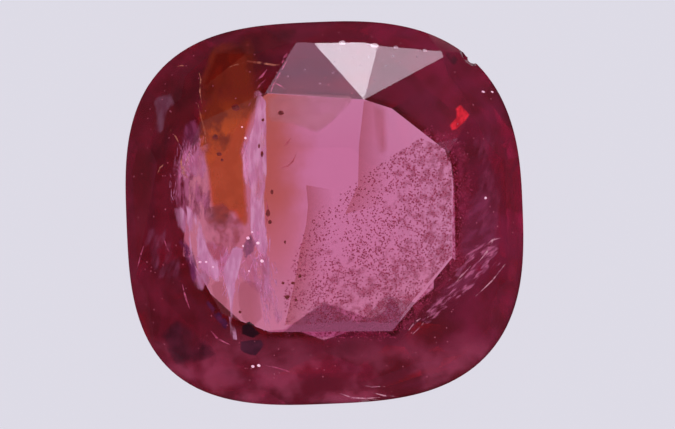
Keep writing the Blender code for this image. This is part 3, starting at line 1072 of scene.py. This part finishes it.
class SPINEL_OT_cracks(bpy.types.Operator):
    """Add the thin bright cracks and scuffs, and the painted highlights and glints among them"""

    bl_idname = "spinel.cracks"
    bl_label = "Add the Cracks"

    def execute(self, context):
        for name, cracks, colour, second in (
            ("gold_cracks", GOLD_CRACKS, seen(190, 122, 104), seen(140, 66, 60)),
            ("pink_cracks_and_highlights", PINK_CRACKS_AND_HIGHLIGHTS, seen(196, 96, 136), seen(160, 60, 96)),
            ("white_cracks_and_glints", WHITE_CRACKS_AND_GLINTS, seen(212, 160, 180), seen(180, 110, 140)),
        ):
            joined(name, slivers(cracks, 0.06 * MM, crack_material(name, colour, second, 0.7)))
        return {"FINISHED"}


def looked_at(tree):
    """1 where the camera sees a thing directly, and 0 where the stone mirrors it or bends its light."""
    return tree.add("ShaderNodeLightPath", output="Is Camera Ray")


def floor_material(settings):
    """Pale floor, which lights the stone only from close by, so that steep facets mirror a dim one."""
    material, tree, output = new_material("pale_floor")
    place = tree.add("ShaderNodeTexCoord", output="Object")
    ends = {0: place, 1: (0, -LIT_PATCH_FORWARD, 0)}
    away = tree.add("ShaderNodeVectorMath", {"operation": "DISTANCE"}, ends, "Value")
    lit = away.step(settings.lit_radius * LIT_FALL_OFF, settings.lit_radius)
    lit = lit.math("MAXIMUM", looked_at(tree))
    dim = rgba([part * FLOOR_DIMMED for part in settings.floor_colour])
    surface(
        tree, output, Base_Color=rgba([part * FLOOR_SCATTER for part in settings.floor_colour]),
        Roughness=0.9, Emission_Color=tree.mix(lit, dim, rgba(settings.floor_colour)), Emission_Strength=1.0,
    )
    return material


FLOOR_DROP = 0.02 * MM
LIT_PATCH_FORWARD = 0.8 * MM
LIT_FALL_OFF = 1.13  # the floor is dim from this many times the lit radius outwards
FLOOR_DIMMED = 0.06  # the share of its light that the floor gives out there
FLOOR_SCATTER = 0.12
FLOOR_SIZE = 1.6


def add_floor(settings):
    mesh = bpy.data.meshes.new("floor")
    plane = bmesh.new()
    bmesh.ops.create_grid(plane, x_segments=1, y_segments=1, size=FLOOR_SIZE / 2)
    bmesh.ops.translate(plane, verts=plane.verts, vec=(0, 0, -FLOOR_DROP))
    plane.to_mesh(mesh)
    plane.free()
    mesh.materials.append(floor_material(settings))
    floor = bpy.data.objects.new("floor", mesh)
    bpy.context.scene.collection.objects.link(floor)


def add_camera(settings):
    """Looks straight down at the table, as the photograph does, and frames what the photograph frames."""
    data = bpy.data.cameras.new("camera")
    data.sensor_width = 36.0
    data.lens = data.sensor_width * (settings.camera_height - TABLE_HEIGHT) / (PHOTO_WIDTH_PX * PHOTO_SCALE)
    data.clip_start = 1 * MM
    data.clip_end = 10
    camera = bpy.data.objects.new("camera", data)
    camera.location = (*PHOTO_CENTRE, settings.camera_height)
    bpy.context.scene.collection.objects.link(camera)
    bpy.context.scene.camera = camera


class Panel(NamedTuple):
    """A soft lit panel that one crown facet mirrors: its direction and spread in degrees, and its light."""

    name: str
    azimuth: float
    from_zenith: float
    spread: tuple
    radiance: float
    colour: tuple = (1.0, 0.93, 1.06)


PANEL_DISTANCE = 0.3
BRIGHT_FACETS = Vector((0, 2.5 * MM, 3 * MM))
PANELS = (
    Panel("panel_bright", 82.5, 65.6, (5, 6), 8.2),
    Panel("panel_middle", 76.0, 65.2, (5, 6), 3.5, (1.0, 0.88, 1.06)),
    Panel("panel_dim", 87.0, 62.0, (5, 5), 1.42, (1.0, 0.72, 1.05)),
)


def add_panel(panel):
    azimuth, tilt = math.radians(panel.azimuth), math.radians(panel.from_zenith)
    towards = Vector((
        math.cos(azimuth) * math.sin(tilt), math.sin(azimuth) * math.sin(tilt), math.cos(tilt)
    ))
    light = bpy.data.lights.new(panel.name, "AREA")
    light.shape = "RECTANGLE"
    half_angles = [math.radians(part / 2) for part in panel.spread]
    light.size, light.size_y = [2 * PANEL_DISTANCE * math.tan(angle) for angle in half_angles]
    light.color = panel.colour
    light.energy = panel.radiance * light.size * light.size_y * math.pi
    holder = bpy.data.objects.new(panel.name, light)
    holder.location = BRIGHT_FACETS + towards * PANEL_DISTANCE
    holder.rotation_mode = "QUATERNION"
    holder.rotation_quaternion = (-towards).to_track_quat("-Z", "Y")
    holder.visible_transmission = False
    bpy.context.scene.collection.objects.link(holder)


WORLD_STOPS = (  # from straight down to straight up, and how bright it is there
    (0.0, 0.04), (0.45, 0.06), (0.62, 0.09), (0.74, 0.21), (1.0, 0.21),
)


def add_world(backdrop):
    """Soft light from overhead that fades towards the horizon, before a backdrop as pale as the floor."""
    world = bpy.data.worlds.new("studio")
    world.use_nodes = True
    world.node_tree.nodes.clear()
    tree = Tree(world.node_tree)
    direction = tree.add("ShaderNodeTexCoord", output="Generated")
    up = tree.add("ShaderNodeSeparateXYZ", None, {0: direction}, "Z")
    stops = [(height, (level, level * 0.99, level * 1.04)) for height, level in WORLD_STOPS]
    light = tree.mix(looked_at(tree), tree.ramp(up, stops), rgba(backdrop))
    background = tree.node("ShaderNodeBackground", None, {"Color": light})
    tree.node("ShaderNodeOutputWorld", None, {"Surface": background.outputs[0]})
    bpy.context.scene.world = world


class SPINEL_OT_stage(bpy.types.Operator):
    """Set the floor, the lights and the camera"""

    bl_idname = "spinel.stage"
    bl_label = "Set the Stage"

    def execute(self, context):
        settings = context.scene.spinel_stage
        add_floor(settings)
        add_camera(settings)
        for panel in PANELS:
            add_panel(panel)
        add_world(settings.floor_colour)
        scene = context.scene
        scene.view_settings.view_transform = "Standard"
        scene.cycles.max_bounces = 32
        scene.cycles.transmission_bounces = 24
        scene.cycles.glossy_bounces = 24
        scene.cycles.transparent_max_bounces = 64
        return {"FINISHED"}


class SPINEL_PT_panel(bpy.types.Panel):
    """Lists the steps that finish the stone"""

    bl_idname = "SPINEL_PT_panel"
    bl_label = "Cut Spinel"
    bl_space_type = "VIEW_3D"
    bl_region_type = "UI"
    bl_category = "Spinel"

    def draw(self, context):
        for operator in OPERATORS:
            self.layout.operator(operator.bl_idname)


OPERATORS = (
    SPINEL_OT_stone, SPINEL_OT_films, SPINEL_OT_haze, SPINEL_OT_feathers, SPINEL_OT_crystals,
    SPINEL_OT_cracks, SPINEL_OT_stage,
)
SETTINGS = {
    "spinel_stone": StoneSettings,
    "spinel_inclusions": InclusionSettings,
    "spinel_stage": StageSettings,
}


def register():
    for cls in (*SETTINGS.values(), *OPERATORS, SPINEL_PT_panel):
        bpy.utils.register_class(cls)
    for name, cls in SETTINGS.items():
        setattr(bpy.types.Scene, name, PointerProperty(type=cls))


def unregister():
    for name in SETTINGS:
        delattr(bpy.types.Scene, name)
    for cls in reversed((*SETTINGS.values(), *OPERATORS, SPINEL_PT_panel)):
        bpy.utils.unregister_class(cls)


def main():
    register()
    bpy.ops.spinel.stone()
    bpy.ops.spinel.films()
    bpy.ops.spinel.haze()
    bpy.ops.spinel.feathers()
    bpy.ops.spinel.crystals()
    bpy.ops.spinel.cracks()
    bpy.ops.spinel.stage()


if __name__ == "__main__":
    main()
